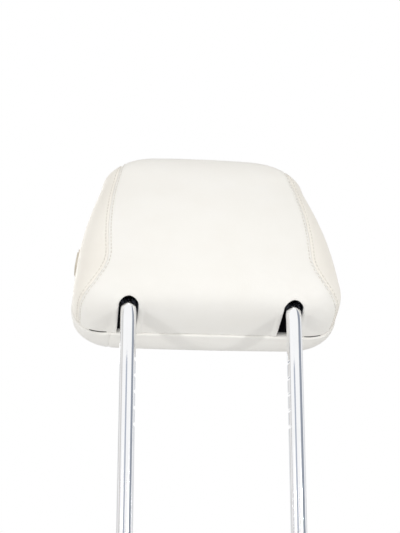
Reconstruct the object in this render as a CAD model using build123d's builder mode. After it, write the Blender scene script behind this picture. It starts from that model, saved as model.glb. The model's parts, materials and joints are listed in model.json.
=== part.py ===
import math
import os

from build123d import *

# Vehicle head restraint: a leather pad that tilts forward on a bent chrome post frame.
# Millimetres. +Z runs up along the posts, +Y points forward to the head, +X to the right from behind.
# The origin lies midway between the two post tips.

# Post frame
POST_RADIUS = 7.0
POST_WALL = 2.5
POST_SPACING = 147.0
LEG_HEIGHT = 225.0
LEG_BEND_ANGLE = 52.0
LEG_BEND_RADIUS = 30.0
ARM_LENGTH = 60.0
CROSSBAR_BEND_RADIUS = 24.0
TIP_LENGTH = 8.0
TIP_ROUND = 3.0
NOTCH_COUNT = 5
NOTCH_PITCH = 14.0
NOTCH_TOP = 176.0
NOTCH_RADIUS = 2.0
NOTCH_DEPTH = 1.5

# Pad form, heights measured along the pad's own axis from the crossbar
PAD_LEAN = 21.0
BELLY_Z = -29.0
SHOULDER_Z = 87.0
FOOT_DROP = 25.0
CROWN_RISE = 46.5
BELLY_HALF_WIDTH = 123.0
SHOULDER_HALF_WIDTH = 100.0
BELLY_HALF_DEPTH = 51.5
SHOULDER_HALF_DEPTH = 37.0
BELLY_MIDDLE = 1.5
SHOULDER_MIDDLE = -4.0
FOOT_WIDTH_SHARE = 0.8
FOOT_DEPTH_SHARE = 0.59
CROWN_WIDTH_SHARE = 0.22
CROWN_DEPTH_SHARE = 0.22
FLANK_BOW = 4.5
BACK_BOW = 2.5
FACE_BOW_SHARE = 0.07
SIDE_BOW_SHARE = 0.035
CORNER_SHARE = 0.52
FOOT_STEPS = 3
FLANK_STEPS = 10
CROWN_STEPS = 6

# Layers of the pad
LEATHER = 2.0
LAYER_GAP = 0.4
REAR_FOAM = 6.0
SHELL_WALL = 3.0
FRONT_PROUD = 1.5
PARTING_Y = 12.0
PARTING_GAP = 1.2
SEAM_GAP = 0.4
SEAM_TOP_Z = 150.0
SEAM_TOP_HALF = 66.0
SEAM_CHEST_Z = 75.0
SEAM_CHEST_HALF = 87.5
SEAM_WAIST_Z = -3.0
SEAM_WAIST_HALF = 92.0
SEAM_TURN_Z = -35.5
SEAM_TURN_HALF = 105.5
SEAM_END_Z = -48.0
SEAM_END_HALF = 128.0
RIM_SEAM_HALF = 88.0
STRIP_DEPTH = 6.0
REAR_STRIP_WALL = 3.0
FRONT_STRIP_WALL = 5.0
PLATE_WALL = 3.0

# Post openings in the underside
SLOT_HALF_WIDTH = 9.5
SLOT_REAR_Y = -32.0
SLOT_TOP_Z = -22.0
LINER_WALL = 1.2
LINER_GAP = 0.2
LINER_TOP_Z = -36.0
LINER_RECESS = 3.0

# Housing that turns on the crossbar
CARRIER_HALF_WIDTH = 46.0
CARRIER_REAR_Y = -24.0
CARRIER_FRONT_Y = 15.0
CARRIER_LOW_Z = -18.0
CARRIER_HIGH_Z = 34.0
CARRIER_WALL = 3.0
POCKET_HALF_WIDTH = 28.0
BUSH_OUTER_RADIUS = 9.0
BUSH_LENGTH = 16.0
RUNNING_GAP = 0.05

# Fasteners
SCREW_RADIUS = 1.6
SCREW_HEAD_RADIUS = 3.2
SCREW_HEAD = 2.4
SCREW_SOCKET_RADIUS = 1.4
SCREW_SOCKET_DEPTH = 1.2
SCREW_SOCKET_SIDES = 6
LONG_SCREW_X = 33.0
PLATE_SCREW_X = 41.0
SCREW_HIGH_Z = 27.0
SCREW_LOW_Z = -13.0
BOSS_RADIUS = 5.0
BOSS_BITE = 9.0
SCREW_TIP_GAP = 1.0
PLATE_SCREW_BITE = 10.0

# Tilt lock
TILT_RANGE = 28.0
TILT_CLICKS = 3
RATCHET_X = -14.0
RATCHET_WIDTH = 5.0
RATCHET_SIDE_GAP = 0.4
RATCHET_HUB_RADIUS = 10.0
RATCHET_TIP_RADIUS = 15.0
RATCHET_START = 55.0
RATCHET_END = 140.0
TOOTH_COUNT = 8
TOOTH_START = 64.0
TOOTH_SIZE = 1.5
TOOTH_TURN = 45.0
PAWL_PIN_Y = -14.0
PAWL_PIN_Z = 24.0
PAWL_PIN_RADIUS = 1.5
PAWL_PIN_REACH = 33.0
PAWL_EYE_RADIUS = 3.5
PAWL_NOSE_Y = -1.0
PAWL_NOSE_CLEAR = 0.5
PAWL_NOSE_HALF = 2.0
PAWL_BODY_LOW_Z = 18.0
PAWL_BODY_HIGH_Z = 23.0
PAWL_TIP_Y = 6.5
PAWL_EYE_HALF = 3.2
LUG_LENGTH = 7.5
LUG_REAR_Y = -8.0
LUG_WIDTH = 4.0
LUG_TOP_Z = 22.0
PAWL_SPRING_Y = -3.5
PAWL_SPRING_RADIUS = 2.2
PAWL_SPRING_WIRE = 0.4
PAWL_SPRING_TURNS = 3
PAWL_SPRING_SEAT = 25.6

# Release button on the left side
BUTTON_Y = -6.0
BUTTON_Z = 9.0
BUTTON_LENGTH = 16.0
BUTTON_HEIGHT = 15.0
BUTTON_PROUD = 1.6
BUTTON_BACK_X = -108.0
BUTTON_GAP = 0.15
BEZEL_WALL = 2.0
BEZEL_PROUD = 0.7
BEZEL_GAP = 0.3
BEZEL_FLOOR_X = -98.0
BEZEL_FLOOR = 3.0
SIDE_REACH = 130.0
ROD_RADIUS = 2.5
ROD_Z = 12.0
ROD_END_X = -18.5
WEDGE_START_X = -26.0
WEDGE_SLOPE = 0.25
WEDGE_GAP = 0.4
WEDGE_OVERRUN = 1.0
BUTTON_SPRING_RADIUS = 3.6
BUTTON_SPRING_WIRE = 0.5
BUTTON_SPRING_TURNS = 3
SPRING_END_GAP = 0.2
COIL_STEPS = 4

# Derived places
CROSSBAR_Y = ARM_LENGTH * math.sin(math.radians(LEG_BEND_ANGLE))
CROSSBAR_Z = LEG_HEIGHT + ARM_LENGTH * math.cos(math.radians(LEG_BEND_ANGLE))
LEAN_SIN = math.sin(math.radians(PAD_LEAN))
LEAN_COS = math.cos(math.radians(PAD_LEAN))
HALF_SPACING = POST_SPACING / 2
FAR = 2 * LEG_HEIGHT
PIVOT = (0, CROSSBAR_Y, CROSSBAR_Z)

# Pad planes: level sections, the side view and the view from behind
LEVEL = Plane(origin=PIVOT, x_dir=(1, 0, 0), z_dir=(0, LEAN_SIN, LEAN_COS))
SIDE = Plane(origin=PIVOT, x_dir=(0, LEAN_COS, -LEAN_SIN), z_dir=(1, 0, 0))
BEHIND = Plane(origin=PIVOT, x_dir=(1, 0, 0), z_dir=(0, -LEAN_COS, LEAN_SIN))
REAR_PARTING = BEHIND.offset(-(PARTING_Y - PARTING_GAP / 2))
FRONT_PARTING = BEHIND.offset(-(PARTING_Y + PARTING_GAP / 2))

SHELL_INSET = LEATHER + LAYER_GAP + REAR_FOAM + LAYER_GAP
FRONT_PLATE_Y = CARRIER_FRONT_Y + PLATE_WALL
TOOTH_PITCH = TILT_RANGE / TILT_CLICKS
NOSE_RADIUS = RATCHET_TIP_RADIUS + PAWL_NOSE_CLEAR
WEDGE_END_X = ROD_END_X + WEDGE_OVERRUN
LUG_LOW_Z = ROD_Z + ROD_RADIUS - WEDGE_SLOPE * (RATCHET_X - LUG_LENGTH - WEDGE_START_X) + WEDGE_GAP


# Height, half width, middle and half depth of one level section of the pad
def pad_station(step, inset):
    climb = min(max((step - FOOT_STEPS) / FLANK_STEPS, 0), 1)
    height = BELLY_Z + climb * (SHOULDER_Z - BELLY_Z)
    wide = 1
    deep = 1
    if step < FOOT_STEPS:
        turn = math.pi / 2 * (FOOT_STEPS - step) / FOOT_STEPS
        height = BELLY_Z - (FOOT_DROP - inset) * math.sin(turn)
        wide = 1 - (1 - FOOT_WIDTH_SHARE) * (1 - math.cos(turn))
        deep = 1 - (1 - FOOT_DEPTH_SHARE) * (1 - math.cos(turn))
    if step > FOOT_STEPS + FLANK_STEPS:
        turn = math.pi / 2 * (step - FOOT_STEPS - FLANK_STEPS) / CROWN_STEPS
        height = SHOULDER_Z + (CROWN_RISE - inset) * math.sin(turn)
        wide = 1 - (1 - CROWN_WIDTH_SHARE) * (1 - math.cos(turn))
        deep = 1 - (1 - CROWN_DEPTH_SHARE) * (1 - math.cos(turn))
    swell = math.sin(math.pi * climb)
    half_width = BELLY_HALF_WIDTH + climb * (SHOULDER_HALF_WIDTH - BELLY_HALF_WIDTH)
    half_depth = BELLY_HALF_DEPTH + climb * (SHOULDER_HALF_DEPTH - BELLY_HALF_DEPTH)
    half_width = half_width + swell * FLANK_BOW - inset
    half_depth = half_depth + swell * BACK_BOW - inset
    middle = BELLY_MIDDLE + climb * (SHOULDER_MIDDLE - BELLY_MIDDLE)
    return height, half_width * wide, middle, half_depth * deep


# Whole pad as one crowned solid, drawn in by an even inset
def pad_form(inset):
    with BuildPart() as form:
        for step in range(FOOT_STEPS + FLANK_STEPS + CROWN_STEPS + 1):
            height, half_width, middle, half_depth = pad_station(step, inset)
            corner_x = half_width * (1 - SIDE_BOW_SHARE)
            rear = middle - half_depth
            front = middle + half_depth
            rear_corner = middle - half_depth * (1 - FACE_BOW_SHARE)
            front_corner = middle + half_depth * (1 - FACE_BOW_SHARE)
            with BuildSketch(LEVEL.offset(height)) as outline:
                with BuildLine():
                    ThreePointArc((-corner_x, rear_corner), (0, rear), (corner_x, rear_corner))
                    ThreePointArc((corner_x, rear_corner), (half_width, middle), (corner_x, front_corner))
                    ThreePointArc((corner_x, front_corner), (0, front), (-corner_x, front_corner))
                    ThreePointArc((-corner_x, front_corner), (-half_width, middle), (-corner_x, rear_corner))
                make_face()
                fillet(outline.vertices(), half_depth * CORNER_SHARE)
        loft()
    return form.part


# Region of the back panel inside the side seams, grown sideways by a gap
def seam_prism(grow):
    with BuildPart() as prism:
        with BuildSketch(BEHIND.offset(-FAR)):
            with BuildLine():
                ThreePointArc(
                    (SEAM_WAIST_HALF + grow, SEAM_WAIST_Z),
                    (SEAM_CHEST_HALF + grow, SEAM_CHEST_Z),
                    (SEAM_TOP_HALF + grow, SEAM_TOP_Z),
                )
                Line((SEAM_TOP_HALF + grow, SEAM_TOP_Z), (-SEAM_TOP_HALF - grow, SEAM_TOP_Z))
                ThreePointArc(
                    (-SEAM_TOP_HALF - grow, SEAM_TOP_Z),
                    (-SEAM_CHEST_HALF - grow, SEAM_CHEST_Z),
                    (-SEAM_WAIST_HALF - grow, SEAM_WAIST_Z),
                )
                ThreePointArc(
                    (-SEAM_WAIST_HALF - grow, SEAM_WAIST_Z),
                    (-SEAM_TURN_HALF - grow, SEAM_TURN_Z),
                    (-SEAM_END_HALF, SEAM_END_Z + grow),
                )
                Polyline(
                    (-SEAM_END_HALF, SEAM_END_Z + grow),
                    (-SIDE_REACH, SEAM_END_Z + grow),
                    (-SIDE_REACH, -FAR),
                    (SIDE_REACH, -FAR),
                    (SIDE_REACH, SEAM_END_Z + grow),
                    (SEAM_END_HALF, SEAM_END_Z + grow),
                )
                ThreePointArc(
                    (SEAM_END_HALF, SEAM_END_Z + grow),
                    (SEAM_TURN_HALF + grow, SEAM_TURN_Z),
                    (SEAM_WAIST_HALF + grow, SEAM_WAIST_Z),
                )
            make_face()
        extrude(amount=2 * FAR)
    return prism.part


# The two openings of the underside, drawn in by an inset, open towards the front
def slot_prism(inset):
    with BuildPart() as prism:
        with BuildSketch(LEVEL.offset(-FAR)):
            with Locations((-HALF_SPACING, SLOT_REAR_Y), (HALF_SPACING, SLOT_REAR_Y)):
                Circle(SLOT_HALF_WIDTH - inset)
                Rectangle(2 * (SLOT_HALF_WIDTH - inset), FAR, align=(Align.CENTER, Align.MIN))
        extrude(amount=FAR + SLOT_TOP_Z)
    return prism.part


# Four equal screws pointing to the rear, their heads seated at a depth in front of the crossbar plane
def screw_set(half_x, seat_y, length):
    with BuildPart() as screws:
        with BuildSketch(BEHIND.offset(-seat_y)):
            with Locations(
                (-half_x, SCREW_LOW_Z), (half_x, SCREW_LOW_Z), (-half_x, SCREW_HIGH_Z), (half_x, SCREW_HIGH_Z)
            ):
                Circle(SCREW_RADIUS)
        extrude(amount=length)
        with BuildSketch(BEHIND.offset(-seat_y - SCREW_HEAD)):
            with Locations(
                (-half_x, SCREW_LOW_Z), (half_x, SCREW_LOW_Z), (-half_x, SCREW_HIGH_Z), (half_x, SCREW_HIGH_Z)
            ):
                Circle(SCREW_HEAD_RADIUS)
        extrude(amount=SCREW_HEAD)
        with BuildSketch(BEHIND.offset(-seat_y - SCREW_HEAD)):
            with Locations(
                (-half_x, SCREW_LOW_Z), (half_x, SCREW_LOW_Z), (-half_x, SCREW_HIGH_Z), (half_x, SCREW_HIGH_Z)
            ):
                RegularPolygon(SCREW_SOCKET_RADIUS, side_count=SCREW_SOCKET_SIDES)
        extrude(amount=SCREW_SOCKET_DEPTH, mode=Mode.SUBTRACT)
    return screws.part


outer_form = pad_form(0)
leather_back = pad_form(LEATHER)
foam_face = pad_form(LEATHER + LAYER_GAP)
foam_back = pad_form(LEATHER + LAYER_GAP + REAR_FOAM)
shell_face = pad_form(SHELL_INSET)
shell_back = pad_form(SHELL_INSET + SHELL_WALL)
strip_back = pad_form(LEATHER + LAYER_GAP + REAR_STRIP_WALL)
liner_limit = pad_form(LINER_RECESS)
bezel_limit = pad_form(-BEZEL_PROUD)
button_limit = pad_form(-BUTTON_PROUD)
front_face = pad_form(-FRONT_PROUD)
front_leather_back = pad_form(LEATHER - FRONT_PROUD)
front_inner = pad_form(LEATHER + LAYER_GAP - FRONT_PROUD)
front_strip_back = pad_form(LEATHER + LAYER_GAP + FRONT_STRIP_WALL - FRONT_PROUD)
panel_region = seam_prism(0)
panel_region_grown = seam_prism(SEAM_GAP)
slot_region = slot_prism(0)
liner_outside = slot_prism(LINER_GAP)
liner_inside = slot_prism(LINER_GAP + LINER_WALL)

# Post frame: two legs, two slanted arms and the crossbar in one bent tube
with BuildPart() as post_frame:
    with BuildLine():
        FilletPolyline(
            (-HALF_SPACING, 0, 0),
            (-HALF_SPACING, 0, LEG_HEIGHT),
            (-HALF_SPACING, CROSSBAR_Y, CROSSBAR_Z),
            (HALF_SPACING, CROSSBAR_Y, CROSSBAR_Z),
            (HALF_SPACING, 0, LEG_HEIGHT),
            (HALF_SPACING, 0, 0),
            radius=[LEG_BEND_RADIUS, CROSSBAR_BEND_RADIUS, CROSSBAR_BEND_RADIUS, LEG_BEND_RADIUS],
        )
    with BuildSketch(Plane(origin=(-HALF_SPACING, 0, 0), x_dir=(1, 0, 0), z_dir=(0, 0, 1))):
        Circle(POST_RADIUS)
        Circle(POST_RADIUS - POST_WALL, mode=Mode.SUBTRACT)
    sweep()
    with BuildSketch(Plane.XY):
        with Locations((-HALF_SPACING, 0), (HALF_SPACING, 0)):
            Circle(POST_RADIUS)
    extrude(amount=TIP_LENGTH)
    tip_edges = post_frame.edges().filter_by(GeomType.CIRCLE).group_by(Axis.Z)[0]
    fillet(tip_edges, TIP_ROUND)
    with BuildSketch(Plane.XZ):
        for notch in range(NOTCH_COUNT):
            with Locations(
                (-HALF_SPACING + POST_RADIUS + NOTCH_RADIUS - NOTCH_DEPTH, NOTCH_TOP - notch * NOTCH_PITCH),
                (HALF_SPACING - POST_RADIUS - NOTCH_RADIUS + NOTCH_DEPTH, NOTCH_TOP - notch * NOTCH_PITCH),
            ):
                Circle(NOTCH_RADIUS)
    extrude(amount=2 * POST_RADIUS, both=True, mode=Mode.SUBTRACT)

# Leather back panel with the underside and its two openings
with BuildPart() as rear_cover:
    add(outer_form)
    add(leather_back, mode=Mode.SUBTRACT)
    split(bisect_by=REAR_PARTING, keep=Keep.TOP)
    add(panel_region, mode=Mode.INTERSECT)
    add(slot_region, mode=Mode.SUBTRACT)

# Leather side panel on the button side
with BuildPart() as left_gusset:
    add(outer_form)
    add(leather_back, mode=Mode.SUBTRACT)
    split(bisect_by=REAR_PARTING, keep=Keep.TOP)
    add(panel_region_grown, mode=Mode.SUBTRACT)
    split(bisect_by=SIDE, keep=Keep.BOTTOM)
    with BuildSketch(SIDE):
        with Locations((BUTTON_Y, BUTTON_Z)):
            Rectangle(
                BUTTON_LENGTH + 2 * (BEZEL_WALL + BEZEL_GAP),
                BUTTON_HEIGHT + 2 * (BEZEL_WALL + BEZEL_GAP),
            )
    extrude(amount=-SIDE_REACH, mode=Mode.SUBTRACT)

# Leather side panel on the plain side
with BuildPart() as right_gusset:
    add(outer_form)
    add(leather_back, mode=Mode.SUBTRACT)
    split(bisect_by=REAR_PARTING, keep=Keep.TOP)
    add(panel_region_grown, mode=Mode.SUBTRACT)
    split(bisect_by=SIDE, keep=Keep.TOP)

# Soft layer under the back leather
with BuildPart() as rear_foam:
    add(foam_face)
    add(foam_back, mode=Mode.SUBTRACT)
    split(bisect_by=REAR_PARTING.offset(STRIP_DEPTH + LAYER_GAP), keep=Keep.TOP)
    add(slot_region, mode=Mode.SUBTRACT)
    with BuildSketch(SIDE):
        with Locations((BUTTON_Y, BUTTON_Z)):
            Rectangle(
                BUTTON_LENGTH + 2 * (BEZEL_WALL + BEZEL_GAP),
                BUTTON_HEIGHT + 2 * (BEZEL_WALL + BEZEL_GAP),
            )
    extrude(amount=-SIDE_REACH, mode=Mode.SUBTRACT)

# Edge strip of the rear leather along the parting
with BuildPart() as rear_edge_strip:
    add(foam_face)
    add(strip_back, mode=Mode.SUBTRACT)
    split(bisect_by=REAR_PARTING, keep=Keep.TOP)
    split(bisect_by=REAR_PARTING.offset(STRIP_DEPTH), keep=Keep.BOTTOM)
    add(slot_region, mode=Mode.SUBTRACT)

# Screw bosses trimmed to the outer face of the rear shell
with BuildPart() as shell_bosses:
    with BuildSketch(BEHIND.offset(-CARRIER_REAR_Y)):
        with Locations(
            (-LONG_SCREW_X, SCREW_LOW_Z),
            (LONG_SCREW_X, SCREW_LOW_Z),
            (-LONG_SCREW_X, SCREW_HIGH_Z),
            (LONG_SCREW_X, SCREW_HIGH_Z),
        ):
            Circle(BOSS_RADIUS)
    extrude(amount=FAR)
    add(shell_face, mode=Mode.INTERSECT)

# Hollow rear shell with four screw bosses
with BuildPart() as rear_shell:
    add(shell_face)
    add(shell_back, mode=Mode.SUBTRACT)
    add(shell_bosses.part)
    split(bisect_by=REAR_PARTING, keep=Keep.TOP)
    add(slot_region, mode=Mode.SUBTRACT)
    with BuildSketch(SIDE):
        with Locations((BUTTON_Y, BUTTON_Z)):
            Rectangle(
                BUTTON_LENGTH + 2 * (BEZEL_WALL + BEZEL_GAP),
                BUTTON_HEIGHT + 2 * (BEZEL_WALL + BEZEL_GAP),
            )
    extrude(amount=-SIDE_REACH, mode=Mode.SUBTRACT)
    with BuildSketch(BEHIND.offset(-CARRIER_REAR_Y)):
        with Locations(
            (-LONG_SCREW_X, SCREW_LOW_Z),
            (LONG_SCREW_X, SCREW_LOW_Z),
            (-LONG_SCREW_X, SCREW_HIGH_Z),
            (LONG_SCREW_X, SCREW_HIGH_Z),
        ):
            Circle(SCREW_RADIUS + RUNNING_GAP)
    extrude(amount=BOSS_BITE + SCREW_TIP_GAP, mode=Mode.SUBTRACT)

# Liner of the left post opening
with BuildPart() as left_slot_liner:
    add(liner_outside)
    add(liner_inside, mode=Mode.SUBTRACT)
    add(liner_limit, mode=Mode.INTERSECT)
    split(bisect_by=REAR_PARTING, keep=Keep.TOP)
    split(bisect_by=LEVEL.offset(LINER_TOP_Z), keep=Keep.BOTTOM)
    split(bisect_by=SIDE, keep=Keep.BOTTOM)

# Liner of the right post opening
with BuildPart() as right_slot_liner:
    add(liner_outside)
    add(liner_inside, mode=Mode.SUBTRACT)
    add(liner_limit, mode=Mode.INTERSECT)
    split(bisect_by=REAR_PARTING, keep=Keep.TOP)
    split(bisect_by=LEVEL.offset(LINER_TOP_Z), keep=Keep.BOTTOM)
    split(bisect_by=SIDE, keep=Keep.TOP)

# Leather of the front cushion between its side seams
with BuildPart() as front_cover_centre:
    add(front_face)
    add(front_leather_back, mode=Mode.SUBTRACT)
    split(bisect_by=FRONT_PARTING, keep=Keep.BOTTOM)
    split(bisect_by=SIDE.offset(RIM_SEAM_HALF - SEAM_GAP / 2), keep=Keep.BOTTOM)
    split(bisect_by=SIDE.offset(-RIM_SEAM_HALF + SEAM_GAP / 2), keep=Keep.TOP)

# Left side leather of the front cushion
with BuildPart() as front_cover_left:
    add(front_face)
    add(front_leather_back, mode=Mode.SUBTRACT)
    split(bisect_by=FRONT_PARTING, keep=Keep.BOTTOM)
    split(bisect_by=SIDE.offset(-RIM_SEAM_HALF - SEAM_GAP / 2), keep=Keep.BOTTOM)

# Right side leather of the front cushion
with BuildPart() as front_cover_right:
    add(front_face)
    add(front_leather_back, mode=Mode.SUBTRACT)
    split(bisect_by=FRONT_PARTING, keep=Keep.BOTTOM)
    split(bisect_by=SIDE.offset(RIM_SEAM_HALF + SEAM_GAP / 2), keep=Keep.TOP)

# Edge strip of the front leather along the parting
with BuildPart() as front_edge_strip:
    add(front_inner)
    add(front_strip_back, mode=Mode.SUBTRACT)
    split(bisect_by=FRONT_PARTING, keep=Keep.BOTTOM)
    split(bisect_by=BEHIND.offset(-CARRIER_FRONT_Y), keep=Keep.TOP)

# Moulded plate that carries the front cushion
with BuildPart() as front_plate:
    add(front_inner)
    split(bisect_by=BEHIND.offset(-CARRIER_FRONT_Y), keep=Keep.BOTTOM)
    split(bisect_by=BEHIND.offset(-FRONT_PLATE_Y), keep=Keep.TOP)
    with BuildSketch(BEHIND.offset(-FRONT_PLATE_Y)):
        with Locations(
            (-PLATE_SCREW_X, SCREW_LOW_Z),
            (PLATE_SCREW_X, SCREW_LOW_Z),
            (-PLATE_SCREW_X, SCREW_HIGH_Z),
            (PLATE_SCREW_X, SCREW_HIGH_Z),
        ):
            Circle(SCREW_RADIUS + RUNNING_GAP)
    extrude(amount=PLATE_WALL, mode=Mode.SUBTRACT)

# Front cushion
with BuildPart() as front_foam:
    add(front_inner)
    split(bisect_by=BEHIND.offset(-FRONT_PLATE_Y), keep=Keep.BOTTOM)
    with BuildSketch(BEHIND.offset(-FRONT_PLATE_Y)):
        with Locations(
            (-PLATE_SCREW_X, SCREW_LOW_Z),
            (PLATE_SCREW_X, SCREW_LOW_Z),
            (-PLATE_SCREW_X, SCREW_HIGH_Z),
            (PLATE_SCREW_X, SCREW_HIGH_Z),
        ):
            Circle(SCREW_HEAD_RADIUS + LAYER_GAP)
    extrude(amount=-SCREW_HEAD - LAYER_GAP, mode=Mode.SUBTRACT)

# Rear half of the housing
with BuildPart() as carrier_rear:
    with BuildSketch(SIDE.offset(-CARRIER_HALF_WIDTH)):
        with Locations((0, CARRIER_LOW_Z)):
            Rectangle(-CARRIER_REAR_Y, CARRIER_HIGH_Z - CARRIER_LOW_Z, align=(Align.MAX, Align.MIN))
    extrude(amount=2 * CARRIER_HALF_WIDTH)
    with BuildSketch(SIDE.offset(-POCKET_HALF_WIDTH)):
        with Locations((0, CARRIER_LOW_Z + CARRIER_WALL)):
            Rectangle(
                -CARRIER_REAR_Y - CARRIER_WALL,
                CARRIER_HIGH_Z - CARRIER_LOW_Z - 2 * CARRIER_WALL,
                align=(Align.MAX, Align.MIN),
            )
    extrude(amount=2 * POCKET_HALF_WIDTH, mode=Mode.SUBTRACT)
    with BuildSketch(SIDE.offset(-CARRIER_HALF_WIDTH)):
        Circle(BUSH_OUTER_RADIUS + RUNNING_GAP)
    extrude(amount=2 * CARRIER_HALF_WIDTH, mode=Mode.SUBTRACT)
    with BuildSketch(SIDE.offset(-PAWL_PIN_REACH)):
        with Locations((PAWL_PIN_Y, PAWL_PIN_Z)):
            Circle(PAWL_PIN_RADIUS + RUNNING_GAP)
    extrude(amount=2 * PAWL_PIN_REACH, mode=Mode.SUBTRACT)
    with BuildSketch(SIDE):
        with Locations((BUTTON_Y, ROD_Z)):
            Circle(ROD_RADIUS + RUNNING_GAP)
    extrude(amount=-CARRIER_HALF_WIDTH, mode=Mode.SUBTRACT)
    with BuildSketch(BEHIND):
        with Locations(
            (-LONG_SCREW_X, SCREW_LOW_Z),
            (LONG_SCREW_X, SCREW_LOW_Z),
            (-LONG_SCREW_X, SCREW_HIGH_Z),
            (LONG_SCREW_X, SCREW_HIGH_Z),
        ):
            Circle(SCREW_RADIUS + RUNNING_GAP)
    extrude(amount=-CARRIER_REAR_Y, mode=Mode.SUBTRACT)

# Front half of the housing
with BuildPart() as carrier_front:
    with BuildSketch(SIDE.offset(-CARRIER_HALF_WIDTH)):
        with Locations((0, CARRIER_LOW_Z)):
            Rectangle(CARRIER_FRONT_Y, CARRIER_HIGH_Z - CARRIER_LOW_Z, align=(Align.MIN, Align.MIN))
    extrude(amount=2 * CARRIER_HALF_WIDTH)
    with BuildSketch(SIDE.offset(-POCKET_HALF_WIDTH)):
        with Locations((0, CARRIER_LOW_Z + CARRIER_WALL)):
            Rectangle(
                CARRIER_FRONT_Y - CARRIER_WALL,
                CARRIER_HIGH_Z - CARRIER_LOW_Z - 2 * CARRIER_WALL,
                align=(Align.MIN, Align.MIN),
            )
    extrude(amount=2 * POCKET_HALF_WIDTH, mode=Mode.SUBTRACT)
    with BuildSketch(SIDE.offset(-CARRIER_HALF_WIDTH)):
        Circle(BUSH_OUTER_RADIUS + RUNNING_GAP)
    extrude(amount=2 * CARRIER_HALF_WIDTH, mode=Mode.SUBTRACT)
    with BuildSketch(BEHIND.offset(-CARRIER_FRONT_Y)):
        with Locations(
            (-LONG_SCREW_X, SCREW_LOW_Z),
            (LONG_SCREW_X, SCREW_LOW_Z),
            (-LONG_SCREW_X, SCREW_HIGH_Z),
            (LONG_SCREW_X, SCREW_HIGH_Z),
        ):
            Circle(SCREW_RADIUS + RUNNING_GAP)
    extrude(amount=CARRIER_FRONT_Y, mode=Mode.SUBTRACT)
    with BuildSketch(BEHIND.offset(-CARRIER_FRONT_Y)):
        with Locations(
            (-LONG_SCREW_X, SCREW_LOW_Z),
            (LONG_SCREW_X, SCREW_LOW_Z),
            (-LONG_SCREW_X, SCREW_HIGH_Z),
            (LONG_SCREW_X, SCREW_HIGH_Z),
        ):
            Circle(SCREW_HEAD_RADIUS + LAYER_GAP)
    extrude(amount=SCREW_HEAD + LAYER_GAP, mode=Mode.SUBTRACT)
    with BuildSketch(BEHIND.offset(-CARRIER_FRONT_Y)):
        with Locations(
            (-PLATE_SCREW_X, SCREW_LOW_Z),
            (PLATE_SCREW_X, SCREW_LOW_Z),
            (-PLATE_SCREW_X, SCREW_HIGH_Z),
            (PLATE_SCREW_X, SCREW_HIGH_Z),
        ):
            Circle(SCREW_RADIUS + RUNNING_GAP)
    extrude(amount=PLATE_SCREW_BITE, mode=Mode.SUBTRACT)

# Bearing sleeves on the crossbar
with BuildPart() as left_bush:
    with BuildSketch(SIDE.offset(-CARRIER_HALF_WIDTH)):
        Circle(BUSH_OUTER_RADIUS)
        Circle(POST_RADIUS + RUNNING_GAP, mode=Mode.SUBTRACT)
    extrude(amount=BUSH_LENGTH)

with BuildPart() as right_bush:
    with BuildSketch(SIDE.offset(CARRIER_HALF_WIDTH)):
        Circle(BUSH_OUTER_RADIUS)
        Circle(POST_RADIUS + RUNNING_GAP, mode=Mode.SUBTRACT)
    extrude(amount=-BUSH_LENGTH)

# Two sets of fasteners
LONG_SCREW_SEAT_Y = CARRIER_FRONT_Y - SCREW_HEAD - LAYER_GAP
with BuildPart() as carrier_screws:
    add(screw_set(LONG_SCREW_X, LONG_SCREW_SEAT_Y, LONG_SCREW_SEAT_Y - CARRIER_REAR_Y + BOSS_BITE))

with BuildPart() as plate_screws:
    add(screw_set(PLATE_SCREW_X, FRONT_PLATE_Y, PLATE_WALL + PLATE_SCREW_BITE - SCREW_TIP_GAP))

# Toothed sector fixed on the crossbar
with BuildPart() as ratchet_sector:
    with BuildSketch(SIDE.offset(RATCHET_X + RATCHET_SIDE_GAP)):
        with BuildLine():
            start_point = (
                RATCHET_TIP_RADIUS * math.cos(math.radians(RATCHET_START)),
                RATCHET_TIP_RADIUS * math.sin(math.radians(RATCHET_START)),
            )
            end_point = (
                RATCHET_TIP_RADIUS * math.cos(math.radians(RATCHET_END)),
                RATCHET_TIP_RADIUS * math.sin(math.radians(RATCHET_END)),
            )
            Line((0, 0), start_point)
            RadiusArc(start_point, end_point, -RATCHET_TIP_RADIUS)
            Line(end_point, (0, 0))
        make_face()
        Circle(RATCHET_HUB_RADIUS)
        with PolarLocations(RATCHET_TIP_RADIUS, TOOTH_COUNT, TOOTH_START, TOOTH_PITCH * TOOTH_COUNT):
            Rectangle(TOOTH_SIZE, TOOTH_SIZE, rotation=TOOTH_TURN, mode=Mode.SUBTRACT)
        Circle(POST_RADIUS + RUNNING_GAP, mode=Mode.SUBTRACT)
    extrude(amount=RATCHET_WIDTH - 2 * RATCHET_SIDE_GAP)

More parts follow.
